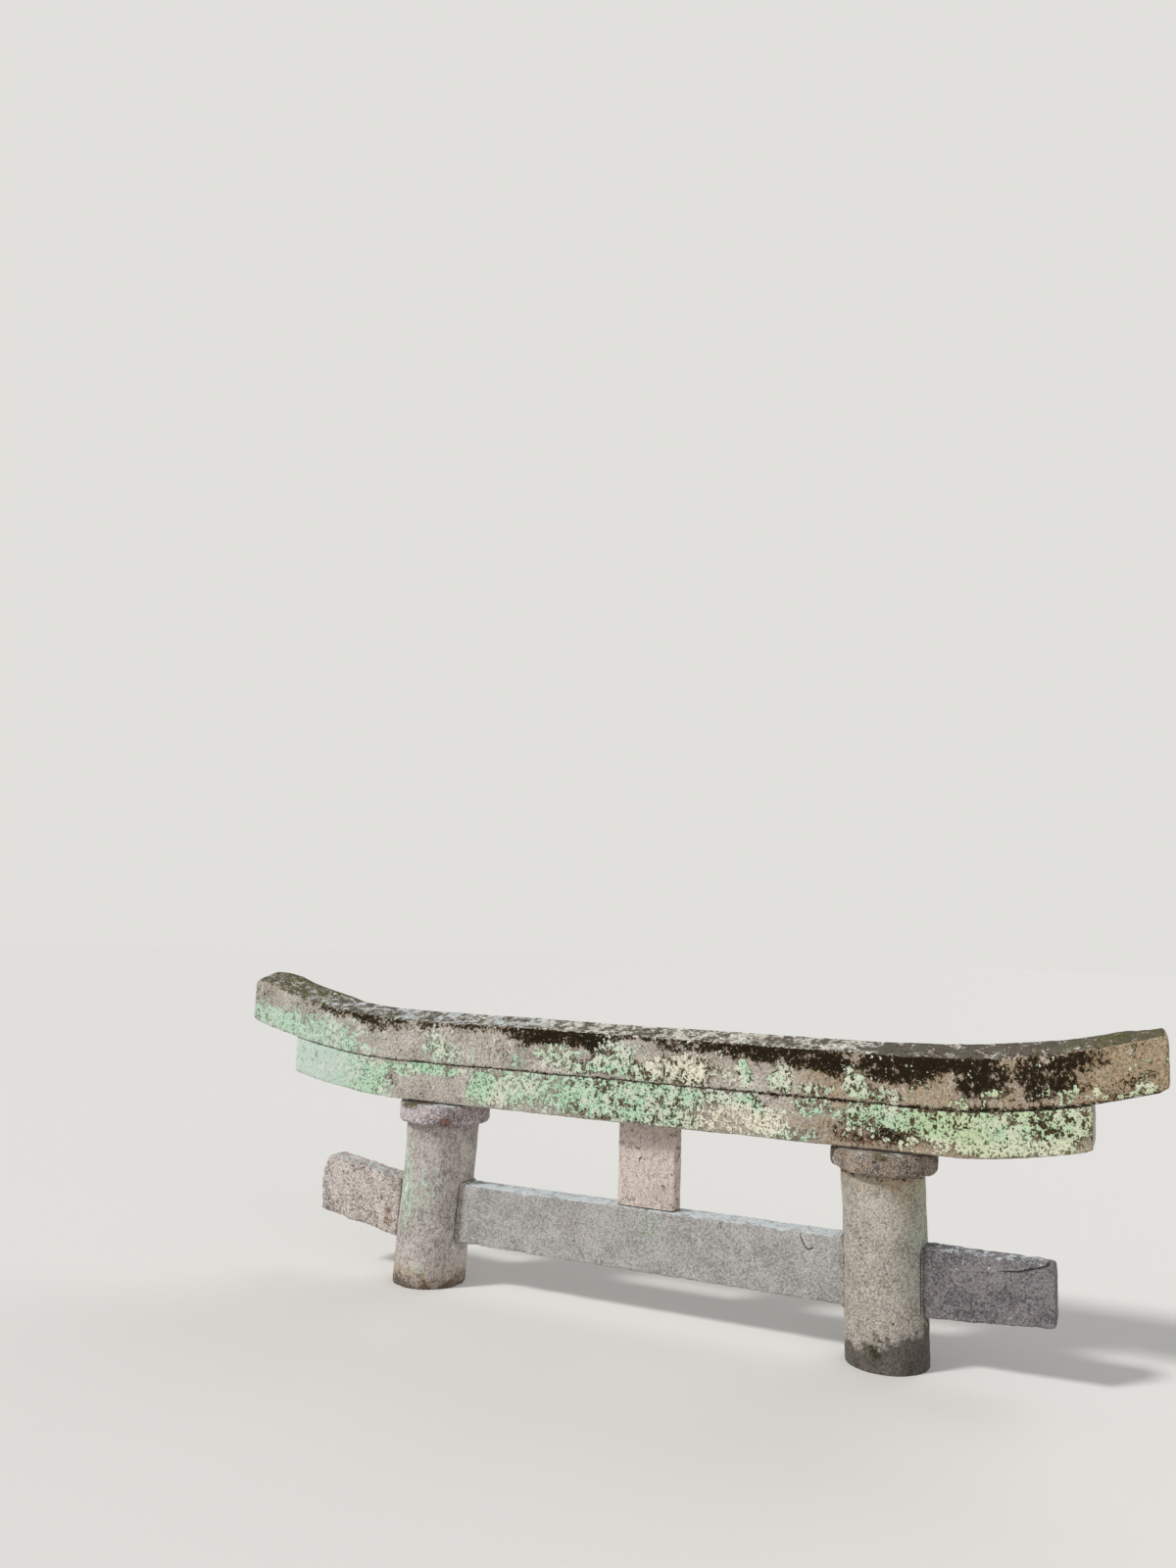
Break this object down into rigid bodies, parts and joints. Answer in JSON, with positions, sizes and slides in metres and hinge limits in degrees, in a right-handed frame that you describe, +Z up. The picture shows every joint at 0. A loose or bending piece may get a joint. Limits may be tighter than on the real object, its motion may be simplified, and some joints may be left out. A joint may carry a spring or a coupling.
{
  "type": "stone torii gate, part buried, as it stands above the ground",
  "caption": "Low weathered stone gate: round pillars with disc capitals, a lower lintel, a gabled upturned top lintel, a strut and a tie beam with a dropped, tilted end.",
  "frame": {"origin": "on the ground, midway between the ends of the top lintel", "axes": "+X along the beams towards the right as seen from the front, +Y to the back, +Z up"},
  "size_m": [3.728, 0.38, 1.2502],
  "materials": {
    "pillar_stone": "dressed grey-pink andesite, grainy, damp and dark at the foot",
    "capital_stone": "dressed grey-pink andesite with rust-red and moss stains",
    "lower_lintel_stone": "andesite under mottled pale green crust lichen",
    "top_lintel_stone": "andesite with dark run-off stains, moss and lichen, worn corners",
    "tie_beam_stone": "pitted grey andesite, cracked at the right end",
    "strut_stone": "pink-grey dressed andesite with fine dark hairlines",
    "mortar": "rough weathered lime and sand mortar",
    "joint_mortar": "dark weathered mortar, set back in its joint"
  },
  "bodies": {
    "root": {"pillar_left": "pillar_stone", "pillar_right": "pillar_stone", "capital_left": "capital_stone", "capital_right": "capital_stone", "capital_bed_left": "mortar", "capital_bed_right": "mortar", "lower_lintel_left": "lower_lintel_stone", "lower_lintel_right": "lower_lintel_stone", "lower_lintel_joint": "joint_mortar", "top_lintel_left": "top_lintel_stone", "top_lintel_right": "top_lintel_stone", "top_lintel_joint": "joint_mortar", "tie_beam_middle": "tie_beam_stone", "tie_beam_end_left": "tie_beam_stone", "tie_beam_end_right": "tie_beam_stone", "tie_mortar_left_inner": "mortar", "tie_mortar_left_outer": "mortar", "tie_mortar_right_inner": "mortar", "tie_mortar_right_outer": "mortar", "strut": "strut_stone", "strut_bed": "joint_mortar"}
  },
  "joints": []
}
